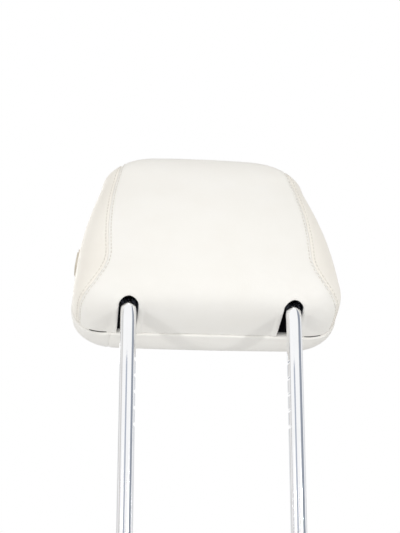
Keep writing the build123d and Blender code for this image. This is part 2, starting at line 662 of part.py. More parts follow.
# Pawl with its eye, nose and the lug that the push rod lifts
with BuildPart() as ratchet_pawl:
    with BuildSketch(SIDE.offset(RATCHET_X)):
        with BuildLine():
            Polyline(
                (PAWL_PIN_Y, PAWL_PIN_Z + PAWL_EYE_HALF),
                (PAWL_TIP_Y, PAWL_BODY_HIGH_Z),
                (PAWL_TIP_Y, PAWL_BODY_LOW_Z),
                (PAWL_NOSE_Y + PAWL_NOSE_HALF, PAWL_BODY_LOW_Z),
                (PAWL_NOSE_Y, math.sqrt(NOSE_RADIUS**2 - PAWL_NOSE_Y**2)),
                (PAWL_NOSE_Y - PAWL_NOSE_HALF, PAWL_BODY_LOW_Z),
                (PAWL_PIN_Y, PAWL_PIN_Z - PAWL_EYE_HALF),
                close=True,
            )
        make_face()
        with Locations((PAWL_PIN_Y, PAWL_PIN_Z)):
            Circle(PAWL_EYE_RADIUS)
            Circle(PAWL_PIN_RADIUS + RUNNING_GAP, mode=Mode.SUBTRACT)
    extrude(amount=RATCHET_WIDTH)
    with BuildSketch(SIDE.offset(RATCHET_X)):
        with Locations((LUG_REAR_Y, LUG_LOW_Z)):
            Rectangle(LUG_WIDTH, LUG_TOP_Z - LUG_LOW_Z, align=(Align.MIN, Align.MIN))
    extrude(amount=-LUG_LENGTH)

# Pin of the pawl
with BuildPart() as pawl_pin:
    with BuildSketch(SIDE.offset(-PAWL_PIN_REACH + LAYER_GAP)):
        with Locations((PAWL_PIN_Y, PAWL_PIN_Z)):
            Circle(PAWL_PIN_RADIUS)
    extrude(amount=2 * (PAWL_PIN_REACH - LAYER_GAP))

# Coil spring that presses the pawl down
PAWL_SPRING_TOP = CARRIER_HIGH_Z - CARRIER_WALL - SPRING_END_GAP - PAWL_SPRING_WIRE
PAWL_SPRING_HEIGHT = PAWL_SPRING_TOP - PAWL_SPRING_SEAT
PAWL_SPRING_PITCH = PAWL_SPRING_HEIGHT / PAWL_SPRING_TURNS
pawl_spring_base = LEVEL.from_local_coords(
    (RATCHET_X + RATCHET_WIDTH / 2, PAWL_SPRING_Y, PAWL_SPRING_SEAT)
)
pawl_spring_plane = Plane(origin=pawl_spring_base, x_dir=LEVEL.x_dir, z_dir=LEVEL.z_dir)


# Point on a coil that climbs along the axis of a plane, after a number of turns
def coil_point(plane, radius, pitch, turns):
    angle = 2 * math.pi * turns
    return plane.from_local_coords((radius * math.cos(angle), radius * math.sin(angle), pitch * turns))


with BuildPart() as pawl_spring:
    with BuildLine() as pawl_coil:
        for step in range(COIL_STEPS * PAWL_SPRING_TURNS):
            from_turn = step / COIL_STEPS
            half_turn = (step + 1 / 2) / COIL_STEPS
            to_turn = (step + 1) / COIL_STEPS
            ThreePointArc(
                coil_point(pawl_spring_plane, PAWL_SPRING_RADIUS, PAWL_SPRING_PITCH, from_turn),
                coil_point(pawl_spring_plane, PAWL_SPRING_RADIUS, PAWL_SPRING_PITCH, half_turn),
                coil_point(pawl_spring_plane, PAWL_SPRING_RADIUS, PAWL_SPRING_PITCH, to_turn),
            )
    with BuildSketch(Plane(origin=pawl_coil.line @ 0, z_dir=pawl_coil.line % 0)):
        Circle(PAWL_SPRING_WIRE)
    sweep()

# Housing of the button with the floor that its spring rests on
with BuildPart() as button_bezel:
    with BuildSketch(SIDE.offset(BEZEL_FLOOR_X)):
        with Locations((BUTTON_Y, BUTTON_Z)):
            Rectangle(BUTTON_LENGTH + 2 * BEZEL_WALL, BUTTON_HEIGHT + 2 * BEZEL_WALL)
    extrude(amount=-SIDE_REACH - BEZEL_FLOOR_X)
    with BuildSketch(SIDE.offset(BEZEL_FLOOR_X - BEZEL_FLOOR)):
        with Locations((BUTTON_Y, BUTTON_Z)):
            Rectangle(BUTTON_LENGTH + 2 * BUTTON_GAP, BUTTON_HEIGHT + 2 * BUTTON_GAP)
    extrude(amount=-SIDE_REACH - BEZEL_FLOOR_X, mode=Mode.SUBTRACT)
    with BuildSketch(SIDE.offset(BEZEL_FLOOR_X)):
        with Locations((BUTTON_Y, ROD_Z)):
            Circle(ROD_RADIUS + RUNNING_GAP)
    extrude(amount=-BEZEL_FLOOR, mode=Mode.SUBTRACT)
    add(bezel_limit, mode=Mode.INTERSECT)

# Push button
with BuildPart() as release_button:
    with BuildSketch(SIDE.offset(BUTTON_BACK_X)):
        with Locations((BUTTON_Y, BUTTON_Z)):
            Rectangle(BUTTON_LENGTH, BUTTON_HEIGHT)
    extrude(amount=-SIDE_REACH - BUTTON_BACK_X)
    add(button_limit, mode=Mode.INTERSECT)

# Push rod with the wedge that lifts the pawl
with BuildPart() as push_rod:
    with BuildSketch(SIDE.offset(BUTTON_BACK_X)):
        with Locations((BUTTON_Y, ROD_Z)):
            Circle(ROD_RADIUS)
    extrude(amount=ROD_END_X - BUTTON_BACK_X)
    with BuildSketch(BEHIND.offset(-BUTTON_Y)):
        with BuildLine():
            Polyline(
                (WEDGE_START_X, ROD_Z + ROD_RADIUS),
                (WEDGE_END_X, ROD_Z + ROD_RADIUS - WEDGE_SLOPE * (WEDGE_END_X - WEDGE_START_X)),
                (WEDGE_END_X, ROD_Z + 2 * ROD_RADIUS),
                (WEDGE_START_X, ROD_Z + 2 * ROD_RADIUS),
                close=True,
            )
        make_face()
    extrude(amount=2 * ROD_RADIUS, both=True, mode=Mode.SUBTRACT)

# Return spring of the button
BUTTON_SPRING_START = BEZEL_FLOOR_X - BEZEL_FLOOR - SPRING_END_GAP - BUTTON_SPRING_WIRE
BUTTON_SPRING_END = BUTTON_BACK_X + SPRING_END_GAP + BUTTON_SPRING_WIRE
BUTTON_SPRING_PITCH = (BUTTON_SPRING_START - BUTTON_SPRING_END) / BUTTON_SPRING_TURNS
button_spring_base = LEVEL.from_local_coords((BUTTON_SPRING_END, BUTTON_Y, ROD_Z))
button_spring_plane = Plane(origin=button_spring_base, x_dir=SIDE.x_dir, z_dir=SIDE.z_dir)

with BuildPart() as button_spring:
    with BuildLine() as button_coil:
        for step in range(COIL_STEPS * BUTTON_SPRING_TURNS):
            from_turn = step / COIL_STEPS
            half_turn = (step + 1 / 2) / COIL_STEPS
            to_turn = (step + 1) / COIL_STEPS
            ThreePointArc(
                coil_point(button_spring_plane, BUTTON_SPRING_RADIUS, BUTTON_SPRING_PITCH, from_turn),
                coil_point(button_spring_plane, BUTTON_SPRING_RADIUS, BUTTON_SPRING_PITCH, half_turn),
                coil_point(button_spring_plane, BUTTON_SPRING_RADIUS, BUTTON_SPRING_PITCH, to_turn),
            )
    with BuildSketch(Plane(origin=button_coil.line @ 0, z_dir=button_coil.line % 0)):
        Circle(BUTTON_SPRING_WIRE)
    sweep()

print("pawl spring gap between turns", PAWL_SPRING_PITCH - 2 * PAWL_SPRING_WIRE)
print("button spring gap between turns", BUTTON_SPRING_PITCH - 2 * BUTTON_SPRING_WIRE)

# Names and files
post_frame.part.label = "post_frame"
rear_cover.part.label = "rear_cover"
left_gusset.part.label = "left_gusset"
right_gusset.part.label = "right_gusset"
rear_foam.part.label = "rear_foam"
rear_edge_strip.part.label = "rear_edge_strip"
rear_shell.part.label = "rear_shell"
left_slot_liner.part.label = "left_slot_liner"
right_slot_liner.part.label = "right_slot_liner"
front_cover_centre.part.label = "front_cover_centre"
front_cover_left.part.label = "front_cover_left"
front_cover_right.part.label = "front_cover_right"
front_edge_strip.part.label = "front_edge_strip"
front_plate.part.label = "front_plate"
front_foam.part.label = "front_foam"
carrier_rear.part.label = "carrier_rear"
carrier_front.part.label = "carrier_front"
left_bush.part.label = "left_bush"
right_bush.part.label = "right_bush"
carrier_screws.part.label = "carrier_screws"
plate_screws.part.label = "plate_screws"
ratchet_sector.part.label = "ratchet_sector"
ratchet_pawl.part.label = "ratchet_pawl"
pawl_pin.part.label = "pawl_pin"
pawl_spring.part.label = "pawl_spring"
button_bezel.part.label = "button_bezel"
release_button.part.label = "release_button"
push_rod.part.label = "push_rod"
button_spring.part.label = "button_spring"

os.makedirs("parts", exist_ok=True)
export_step(post_frame.part, "parts/post_frame.step")
export_step(rear_cover.part, "parts/rear_cover.step")
export_step(left_gusset.part, "parts/left_gusset.step")
export_step(right_gusset.part, "parts/right_gusset.step")
export_step(rear_foam.part, "parts/rear_foam.step")
export_step(rear_edge_strip.part, "parts/rear_edge_strip.step")
export_step(rear_shell.part, "parts/rear_shell.step")
export_step(left_slot_liner.part, "parts/left_slot_liner.step")
export_step(right_slot_liner.part, "parts/right_slot_liner.step")
export_step(front_cover_centre.part, "parts/front_cover_centre.step")
export_step(front_cover_left.part, "parts/front_cover_left.step")
export_step(front_cover_right.part, "parts/front_cover_right.step")
export_step(front_edge_strip.part, "parts/front_edge_strip.step")
export_step(front_plate.part, "parts/front_plate.step")
export_step(front_foam.part, "parts/front_foam.step")
export_step(carrier_rear.part, "parts/carrier_rear.step")
export_step(carrier_front.part, "parts/carrier_front.step")
export_step(left_bush.part, "parts/left_bush.step")
export_step(right_bush.part, "parts/right_bush.step")
export_step(carrier_screws.part, "parts/carrier_screws.step")
export_step(plate_screws.part, "parts/plate_screws.step")
export_step(ratchet_sector.part, "parts/ratchet_sector.step")
export_step(ratchet_pawl.part, "parts/ratchet_pawl.step")
export_step(pawl_pin.part, "parts/pawl_pin.step")
export_step(pawl_spring.part, "parts/pawl_spring.step")
export_step(button_bezel.part, "parts/button_bezel.step")
export_step(release_button.part, "parts/release_button.step")
export_step(push_rod.part, "parts/push_rod.step")
export_step(button_spring.part, "parts/button_spring.step")
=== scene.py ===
import json
import math

import bmesh
import bpy
import numpy as np
from mathutils import Matrix, Vector
from mathutils.bvhtree import BVHTree
from mathutils.kdtree import KDTree


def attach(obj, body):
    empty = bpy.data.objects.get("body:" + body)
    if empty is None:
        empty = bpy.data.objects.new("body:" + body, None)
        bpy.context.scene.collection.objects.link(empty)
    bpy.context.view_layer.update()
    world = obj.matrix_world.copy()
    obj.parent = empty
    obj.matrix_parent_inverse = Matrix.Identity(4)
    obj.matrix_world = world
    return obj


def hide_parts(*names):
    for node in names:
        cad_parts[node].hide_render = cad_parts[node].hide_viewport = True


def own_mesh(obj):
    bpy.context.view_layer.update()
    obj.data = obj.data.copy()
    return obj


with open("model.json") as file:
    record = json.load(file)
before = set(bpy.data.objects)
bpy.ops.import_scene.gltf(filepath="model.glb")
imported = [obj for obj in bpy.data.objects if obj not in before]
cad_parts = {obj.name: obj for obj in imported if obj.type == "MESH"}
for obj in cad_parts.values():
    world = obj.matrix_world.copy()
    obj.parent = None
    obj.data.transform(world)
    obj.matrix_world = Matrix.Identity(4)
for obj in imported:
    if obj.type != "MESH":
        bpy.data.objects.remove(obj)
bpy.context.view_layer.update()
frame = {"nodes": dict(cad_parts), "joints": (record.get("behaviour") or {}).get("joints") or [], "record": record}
nodes = frame["nodes"]
scene = bpy.context.scene

# Pad frame: x to the right, y forward, z up the pad, in millimetres from the crossbar
PAD_LEAN = math.radians(21)
PIVOT = Vector(next(j for j in frame["joints"] if j["name"] == "head_tilt")["pos_m"])
PAD_Y = Vector((0, math.cos(PAD_LEAN), -math.sin(PAD_LEAN)))
PAD_Z = Vector((0, math.sin(PAD_LEAN), math.cos(PAD_LEAN)))
MM = 0.001
TO_FRAME = Matrix.Translation(PIVOT) @ Matrix(
    (
        (MM, 0, 0, 0),
        (0, PAD_Y.y * MM, PAD_Z.y * MM, 0),
        (0, PAD_Y.z * MM, PAD_Z.z * MM, 0),
        (0, 0, 0, 1),
    )
)
TO_PAD = TO_FRAME.inverted()

# Sizes of the pad, as in the solid model
BELLY_Z, SHOULDER_Z, FOOT_DROP, CROWN_RISE = -29.0, 87.0, 25.0, 46.5
BELLY_HALF_WIDTH, SHOULDER_HALF_WIDTH = 123.0, 100.0
BELLY_HALF_DEPTH, SHOULDER_HALF_DEPTH = 51.5, 37.0
BELLY_MIDDLE, SHOULDER_MIDDLE = 1.5, -4.0
FOOT_WIDTH_SHARE, FOOT_DEPTH_SHARE = 0.8, 0.59
CROWN_WIDTH_SHARE, CROWN_DEPTH_SHARE = 0.22, 0.22
FLANK_BOW, BACK_BOW, FACE_BOW, SIDE_BOW, CORNER_SHARE = 4.5, 2.5, 0.07, 0.035, 0.52
FOOT_STEPS, FLANK_STEPS, CROWN_STEPS = 3, 10, 6
RINGS_PER_STEP, CORNER_POINTS, SIDE_POINTS = 6, 12, 20
FRONT_PROUD = 1.5
PAD_MIDDLE_Z = 35.0

# Parting between rear and front, and where it stands a little open: between two widths, below a height
PARTING, PARTING_HALF, PARTING_CORNER = 12.0, 0.2, 0.55
CORNER_FROM, CORNER_TO, CORNER_TOP, CORNER_BLUR = 90.0, 108.0, -32.0, 2.0

# Side seams in the view from behind: two arcs through three points each, and a last short run outwards
SEAM_UPPER = (66, 150), (87.5, 75), (92, -3)
SEAM_LOWER = (92, -3), (105.5, -35.5), (128, -48)
SEAM_ARC_POINTS, SEAM_END, SEAM_END_DROP = 30, 140, 0.5
RIM_SEAM = 88.0

# Openings for the posts and the button
SLOT_X, SLOT_Y, SLOT_HALF, SLOT_TOP = 73.5, -31.2, 8.7, -22.0
BUTTON_Y, BUTTON_Z, BUTTON_HALF_Y, BUTTON_HALF_Z = -6.0, 9.0, 10.3, 9.8
BUTTON_SIDE = -60.0

# Padding: the form starts a little small, is held near its seams and swells between them
FORM_INSET, SWELL_CAP = 0.4, 2.5
VOXEL, SMOOTH_ROUNDS, PULL_BACK = 0.0034, 12, 0.7
PIN_HELD, PIN_FREE = 3.0, 8.0
PRESSURE, CLOTH_FRAMES = 4, 20

# Edges of the leather: how deep they are drawn in, over what width, and how far they turn in
LEATHER = 1.4
SEAM_DEPTH, SEAM_WIDTH, PLAIN_DEPTH, PLAIN_WIDTH = 1.1, 1.5, 0.75, 1.3
REAR_ROLL, FRONT_ROLL, BUTTON_ROLL, SLOT_ROLL, ROLL_SHARE = 1.1, 1.7, 1.2, 1.3, 0.98
WELT_RISE, WELT_WIDTH, WELT_BLUR = 0.9, 4.2, 0.3
PARTING_FLANGE, BUTTON_FLANGE, SLOT_FLANGE = 5, 2, 1.5
EDGE_LOOPS = 0.5, 1.1, 1.9, 2.9, 4.2
LINE_SNAP, LOOP_SNAP, BORDER_REACH, BORDER_STEPS, FAR_AWAY = 0.22, 0.3, 0.6, 4, 99.0

# Stitches, and the rings of one: its place along the stitch, thickness and lift, in lengths and radii
STITCH_OFFSET, STITCH_PITCH, STITCH_LENGTH, STITCH_RADIUS = 2.4, 4.2, 3.2, 0.42
STITCH_DEPTH, STITCH_WIDTH, STITCH_SIDES = 0.4, 0.8, 7
STITCH_RINGS = (-0.5, 0.55, -0.35), (-0.36, 0.9, 0.12), (0, 1, 0.3), (0.36, 0.9, 0.12), (0.5, 0.55, -0.35)
HALF_STEP = 0.0005


def apply(matrix, points):
    """Points as rows, moved by a 4x4 matrix."""
    m = np.array(matrix)
    return np.asarray(points) @ m[:3, :3].T + m[:3, 3]


def coordinates(mesh):
    points = np.zeros(len(mesh.vertices) * 3)
    mesh.vertices.foreach_get("co", points)
    return points.reshape(-1, 3)


def new_object(name, mesh):
    made = bpy.data.objects.new(name, mesh)
    scene.collection.objects.link(made)
    return made


def surface(piece):
    """A piece's faces, to look up the nearest point on them."""
    mesh = piece.data
    return BVHTree.FromPolygons([v.co for v in mesh.vertices], [f.vertices for f in mesh.polygons])


# The pad's form


def station(step):
    """Height, half width, middle and half depth of one level section."""
    climb = min(max((step - FOOT_STEPS) / FLANK_STEPS, 0), 1)
    height = BELLY_Z + climb * (SHOULDER_Z - BELLY_Z)
    wide = deep = 1
    if step < FOOT_STEPS:
        turn = math.pi / 2 * (FOOT_STEPS - step) / FOOT_STEPS
        height = BELLY_Z - (FOOT_DROP - FORM_INSET) * math.sin(turn)
        wide = 1 - (1 - FOOT_WIDTH_SHARE) * (1 - math.cos(turn))
        deep = 1 - (1 - FOOT_DEPTH_SHARE) * (1 - math.cos(turn))
    if step > FOOT_STEPS + FLANK_STEPS:
        turn = math.pi / 2 * (step - FOOT_STEPS - FLANK_STEPS) / CROWN_STEPS
        height = SHOULDER_Z + (CROWN_RISE - FORM_INSET) * math.sin(turn)
        wide = 1 - (1 - CROWN_WIDTH_SHARE) * (1 - math.cos(turn))
        deep = 1 - (1 - CROWN_DEPTH_SHARE) * (1 - math.cos(turn))
    swell = math.sin(math.pi * climb)
    half_width = BELLY_HALF_WIDTH + climb * (SHOULDER_HALF_WIDTH - BELLY_HALF_WIDTH)
    half_depth = BELLY_HALF_DEPTH + climb * (SHOULDER_HALF_DEPTH - BELLY_HALF_DEPTH)
    half_width += swell * FLANK_BOW - FORM_INSET
    half_depth += swell * BACK_BOW - FORM_INSET
    middle = BELLY_MIDDLE + climb * (SHOULDER_MIDDLE - BELLY_MIDDLE)
    return np.array((height, half_width * wide, middle, half_depth * deep))


def between(stations, t):
    """A smooth curve through the stations, read at step t."""
    i = min(int(t), len(stations) - 2)
    f = t - i
    p1, p2 = stations[i], stations[i + 1]
    p0 = stations[i - 1] if i else 2 * p1 - p2
    p3 = stations[i + 2] if i + 2 < len(stations) else 2 * p2 - p1
    return p1 + f / 2 * (p2 - p0 + f * (2 * p0 - 5 * p1 + 4 * p2 - p3 + f * (3 * (p1 - p2) + p3 - p0)))


def section(height, half_width, middle, half_depth):
    """One level section: a rounded rectangle with bowed sides."""
    a, b = half_width * (1 - SIDE_BOW), half_depth * (1 - FACE_BOW)
    r = half_depth * CORNER_SHARE
    u, v = a - r, b - r
    corners = (u, v), (-u, v), (-u, -v), (u, -v)
    runs = (-2 * u, 0), (0, -2 * v), (2 * u, 0), (0, 2 * v)
    points = []
    for quarter, ((x, y), run) in enumerate(zip(corners, runs)):
        for k in range(CORNER_POINTS + 1):
            turn = math.pi / 2 * (quarter + k / CORNER_POINTS)
            points.append((x + r * math.cos(turn), y + r * math.sin(turn)))
        start = points.pop()
        for k in range(SIDE_POINTS):
            points.append((start[0] + run[0] * k / SIDE_POINTS, start[1] + run[1] * k / SIDE_POINTS))
    p = np.array(points)
    x = p[:, 0] * (1 + SIDE_BOW / (1 - SIDE_BOW) * (1 - (p[:, 1] / b) ** 2))
    y = p[:, 1] * (1 + FACE_BOW / (1 - FACE_BOW) * (1 - (p[:, 0] / a) ** 2))
    return np.column_stack((x, y + middle, np.full(len(p), height)))


def pad_form():
    """The whole pad as one closed mesh in the part's frame, before it is remeshed."""
    last = FOOT_STEPS + FLANK_STEPS + CROWN_STEPS
    stations = [station(k) for k in range(last + 1)]
    places = np.linspace(0, last, RINGS_PER_STEP * last + 1)
    rings = [section(*between(stations, t)) for t in places]
    n = len(rings[0])
    faces = [
        (i * n + k, i * n + (k + 1) % n, (i + 1) * n + (k + 1) % n, (i + 1) * n + k)
        for i in range(len(rings) - 1)
        for k in range(n)
    ]
    faces.append(tuple(range(n - 1, -1, -1)))
    faces.append(tuple(range((len(rings) - 1) * n, len(rings) * n)))
    mesh = bpy.data.meshes.new("pad_form")
    mesh.from_pydata(apply(TO_FRAME, np.vstack(rings)).tolist(), [], faces)
    return mesh


def evaluated(source):
    """The mesh of an object with its modifiers applied."""
    graph = bpy.context.evaluated_depsgraph_get()
    return bpy.data.meshes.new_from_object(source.evaluated_get(graph))


# Fields over the pad, in millimetres: negative on one side of a line, positive on the other


def seam_line():
    """The right side seam as seen from behind, from the crown down to the lower corner."""
    points = []
    for start, middle, end in (SEAM_UPPER, SEAM_LOWER):
        (ax, ay), (bx, by), (cx, cy) = start, middle, end
        d = 2 * (ax * (by - cy) + bx * (cy - ay) + cx * (ay - by))
        sa, sb, sc = ax**2 + ay**2, bx**2 + by**2, cx**2 + cy**2
        ux = (sa * (by - cy) + sb * (cy - ay) + sc * (ay - by)) / d
        uy = (sa * (cx - bx) + sb * (ax - cx) + sc * (bx - ax)) / d
        radius = math.hypot(ax - ux, ay - uy)
        turns = np.unwrap([math.atan2(y - uy, x - ux) for x, y in (start, middle, end)])
        arc = np.linspace(turns[0], turns[2], SEAM_ARC_POINTS)
        points += [(ux + radius * math.cos(t), uy + radius * math.sin(t)) for t in arc]
    return np.array(points + [(SEAM_END, points[-1][1] - SEAM_END_DROP)])


SEAM = seam_line()


def side_seam(p):
    """Distance from the side seams in the view from behind, positive on the outer side."""
    q = np.column_stack((np.abs(p[:, 0]), p[:, 2]))
    best = np.full(len(q), 1e9)
    sign = np.ones(len(q))
    for a, b in zip(SEAM[:-1], SEAM[1:]):
        d = b - a
        if not d.any():
            continue
        t = np.clip(((q - a) @ d) / (d @ d), 0, 1)
        off = q - a - t[:, None] * d
        far = np.hypot(off[:, 0], off[:, 1])
        side = np.where(d[0] * (q[:, 1] - a[1]) - d[1] * (q[:, 0] - a[0]) > 0, 1.0, -1.0)
        sign = np.where(far < best - 1e-9, side, sign)
        best = np.minimum(best, far)
    return best * sign


def rim_seam(p):
    return np.abs(p[:, 0]) - RIM_SEAM


def slot_edge(p):
    u, v = np.abs(p[:, 0]) - SLOT_X, p[:, 1] - SLOT_Y
    flat = np.where(v < 0, np.hypot(u, v), np.abs(u)) - SLOT_HALF
    return np.maximum(flat, p[:, 2] - SLOT_TOP)


def button_edge(p):
    u, v = np.abs(p[:, 1] - BUTTON_Y) - BUTTON_HALF_Y, np.abs(p[:, 2] - BUTTON_Z) - BUTTON_HALF_Z
    return np.maximum(np.maximum(u, v), p[:, 0] - BUTTON_SIDE)


def swollen_form():
    """The pad as one closed padded mesh: remeshed evenly, then puffed up between its pinned seams."""
    source = new_object("pad_source", pad_form())
    tree = surface(source)
    remesh = source.modifiers.new("remesh", "REMESH")
    remesh.mode = "VOXEL"
    remesh.voxel_size = VOXEL
    smooth = source.modifiers.new("smooth", "SMOOTH")
    smooth.iterations = SMOOTH_ROUNDS
    mesh = evaluated(source)
    bpy.data.objects.remove(source)
    for v in mesh.vertices:
        v.co = v.co.lerp(tree.find_nearest(v.co)[0], PULL_BACK)
    rest = coordinates(mesh)
    body = new_object("pad_cloth", mesh)
    p = apply(TO_PAD, rest)
    rear = p[:, 1] < PARTING
    far = np.where(rear, np.abs(side_seam(p)), np.abs(rim_seam(p)))
    far = np.minimum(far, np.abs(p[:, 1] - PARTING))
    far = np.minimum(far, np.where(rear, np.abs(slot_edge(p)), FAR_AWAY))
    pins = body.vertex_groups.new(name="pins")
    for index, weight in enumerate(np.clip((PIN_FREE - far) / (PIN_FREE - PIN_HELD), 0, 1)):
        pins.add([index], float(weight), "REPLACE")
    cloth = body.modifiers.new("cloth", "CLOTH")
    cloth.settings.vertex_group_mass = "pins"
    cloth.settings.use_pressure = True
    cloth.settings.uniform_pressure_force = PRESSURE
    cloth.settings.effector_weights.gravity = 0
    cloth.collision_settings.use_collision = False
    for number in range(1, CLOTH_FRAMES + 1):
        scene.frame_set(number)
    swollen = coordinates(evaluated(body))
    scene.frame_set(1)
    moved = swollen - rest
    reach = np.linalg.norm(moved, axis=1)
    rest = rest + moved * np.minimum(1, SWELL_CAP * MM / np.maximum(reach, 1e-9))[:, None]
    bpy.data.objects.remove(body)
    mesh.vertices.foreach_set("co", rest.ravel())
    body = new_object("pad_fine", mesh)
    fine = body.modifiers.new("fine", "SUBSURF")
    fine.levels = fine.render_levels = 1
    made = evaluated(body)
    bpy.data.objects.remove(body)
    made.vertices.foreach_set("co", apply(TO_PAD, coordinates(made)).ravel())
    return made


# Cutting the form into sewn panels, in pad millimetres


def cut(bm, field, snap=LINE_SNAP):
    """Splits faces along the field's zero line; inner vertices close to the line move onto it."""
    bm.verts.ensure_lookup_table()
    found = field(np.array([v.co for v in bm.verts]))
    values = dict(zip(bm.verts, found.tolist()))
    for e in bm.edges:
        a, b = e.verts
        if values[a] * values[b] < 0:
            t = values[a] / (values[a] - values[b])
            if t < snap and not a.is_boundary:
                a.co = a.co.lerp(b.co, t)
                values[a] = 0.0
            elif t > 1 - snap and not b.is_boundary:
                b.co = a.co.lerp(b.co, t)
                values[b] = 0.0
    for e in list(bm.edges):
        a, b = e.verts
        if values[a] * values[b] < 0:
            made = bmesh.utils.edge_split(e, a, values[a] / (values[a] - values[b]))[1]
            values[made] = 0.0
    for f in list(bm.faces):
        loop = [values[v] for v in f.verts]
        if min(loop) >= 0 or max(loop) <= 0:
            continue
        zero = [i for i, value in enumerate(loop) if value == 0]
        for i, j in [(i, j) for i in zero for j in zero if i < j]:
            inner, outer = loop[i + 1 : j], loop[j + 1 :] + loop[:i]
            if inner and outer and (min(inner) >= 0 >= max(outer) or max(inner) <= 0 <= min(outer)):
                verts = list(f.verts)
                bmesh.utils.face_split(f, verts[i], verts[j])
                break
    return values


def keep(bm, field, side):
    """Cuts along the field's zero line and drops the faces on the other side."""
    values = cut(bm, field)
    lost = [f for f in bm.faces if side * sum(values[v] for v in f.verts) < 0]
    bmesh.ops.delete(bm, geom=lost, context="FACES")


class Border:
    """The open edge of a panel, of one kind, as points close together."""

    def __init__(self, bm, test):
        self.edges = [e for e in bm.edges if e.is_boundary and all(test(v.co) for v in e.verts)]
        shares = [k / BORDER_STEPS for k in range(BORDER_STEPS + 1)]
        points = [e.verts[0].co.lerp(e.verts[1].co, share) for e in self.edges for share in shares]
        self.tree = KDTree(len(points))
        for index, point in enumerate(points):
            self.tree.insert(point, index)
        self.tree.balance()
        self.empty = not points

    def line(self, sign):
        """The edge on one side of the pad, as points in order."""
        edges = [e for e in self.edges if e.verts[0].co.x * sign > 0]
        count = {}
        for e in edges:
            for v in e.verts:
                count.setdefault(v, []).append(e)
        v = next(v for v, found in count.items() if len(found) == 1)
        points, used = [v.co.copy()], set()
        while True:
            e = next((e for e in count[v] if e not in used), None)
            if e is None:
                return np.array(points)
            used.add(e)
            v = e.other_vert(v)
            points.append(v.co.copy())

    def far(self, points):
        if self.empty:
            return np.full(len(points), FAR_AWAY)
        return np.array([self.tree.find(p)[2] for p in points])


def near(field):
    return lambda co: abs(float(field(np.array([co]))[0])) < BORDER_REACH


def sewn(d):
    """How far a seam pulls the leather in, at a distance from it."""
    stitched = STITCH_DEPTH * np.exp(-(((d - STITCH_OFFSET) / STITCH_WIDTH) ** 2))
    return SEAM_DEPTH * np.exp(-((d / SEAM_WIDTH) ** 2)) + stitched


def plain_seam(d):
    return PLAIN_DEPTH * np.exp(-((d / PLAIN_WIDTH) ** 2))


def rolled(radius):
    """A rolled edge of that radius."""

    def shape(d):
        x = np.clip(radius - d, 0, radius)
        return radius - np.sqrt(radius**2 - ROLL_SHARE * x**2)

    return shape


def lipped(d):
    """The edge of a post opening: a raised flat welt that turns in."""
    return rolled(SLOT_ROLL)(d) - WELT_RISE / (1 + np.exp((d - WELT_WIDTH) / WELT_BLUR))


def gap_half(p):
    """Half the width of the parting: nearly closed, and a little open at the lower corners."""
    x = np.abs(p[:, 0])
    across = 1 / (1 + np.exp(CORNER_FROM - x)) / (1 + np.exp(x - CORNER_TO))
    corner = across / (1 + np.exp((p[:, 2] - CORNER_TOP) / CORNER_BLUR))
    return PARTING_HALF + PARTING_CORNER * corner


def parting_rear(p):
    return p[:, 1] - PARTING + gap_half(p)


def parting_front(p):
    return p[:, 1] - PARTING - gap_half(p)


def add_flange(bm, edges, place):
    """A strip of faces along open edges, whose far points lie at the place of each near one."""
    far = {}
    for e in edges:
        a, b = e.verts
        for v in (a, b):
            if v not in far:
                far[v] = bm.verts.new(place(v), v)
        bm.faces.new((a, b, far[b], far[a]))


def finish_panel(bm, name, kinds, proud=0.0):
    """Rounds a panel's edges by the kind of each border, turns the open ones in, and makes it an object."""
    borders = [(Border(bm, near(field)), shape) for field, shape, _ in kinds]
    for distance in EDGE_LOOPS:
        cut(bm, lambda p: np.min([b.far(p) for b, _ in borders], axis=0) - distance, LOOP_SNAP)
    flanges = [(Border(bm, near(field)).edges, turn) for field, _, turn in kinds if turn is not None]
    layer = bm.verts.layers.float_vector["outward"]
    points = [v.co.copy() for v in bm.verts]
    outward = {v: v[layer].normalized() for v in bm.verts}
    depths = np.array([shape(b.far(points)) for b, shape in borders])
    inward = np.maximum(depths.max(axis=0), 0) + np.minimum(depths.min(axis=0), 0)
    for v, depth in zip(bm.verts, inward):
        v.co = v.co + outward[v] * (proud - float(depth))
    for edges, turn in flanges:
        add_flange(bm, [e for e in edges if e.is_boundary], lambda v: v.co + turn(v[layer].normalized()))
    bmesh.ops.recalc_face_normals(bm, faces=bm.faces[:])
    mesh = bpy.data.meshes.new(name)
    bm.to_mesh(mesh)
    bm.free()
    mesh.vertices.foreach_set("co", apply(TO_FRAME, coordinates(mesh)).ravel())
    for f in mesh.polygons:
        f.use_smooth = True
    return new_object(name, mesh)


def turned_in(depth):
    """A flange that goes straight into the pad, level with the parting."""

    def move(normal):
        return Vector((normal.x, 0, normal.z)).normalized() * -depth

    return move


def face_outward(panel):
    """Turns a panel's faces so that its outer side looks away from the pad's middle."""
    mesh = panel.data
    middle = TO_FRAME @ Vector((0, 0, PAD_MIDDLE_Z))
    total = sum((f.center - middle).dot(f.normal) * f.area for f in mesh.polygons)
    if total < 0:
        mesh.flip_normals()


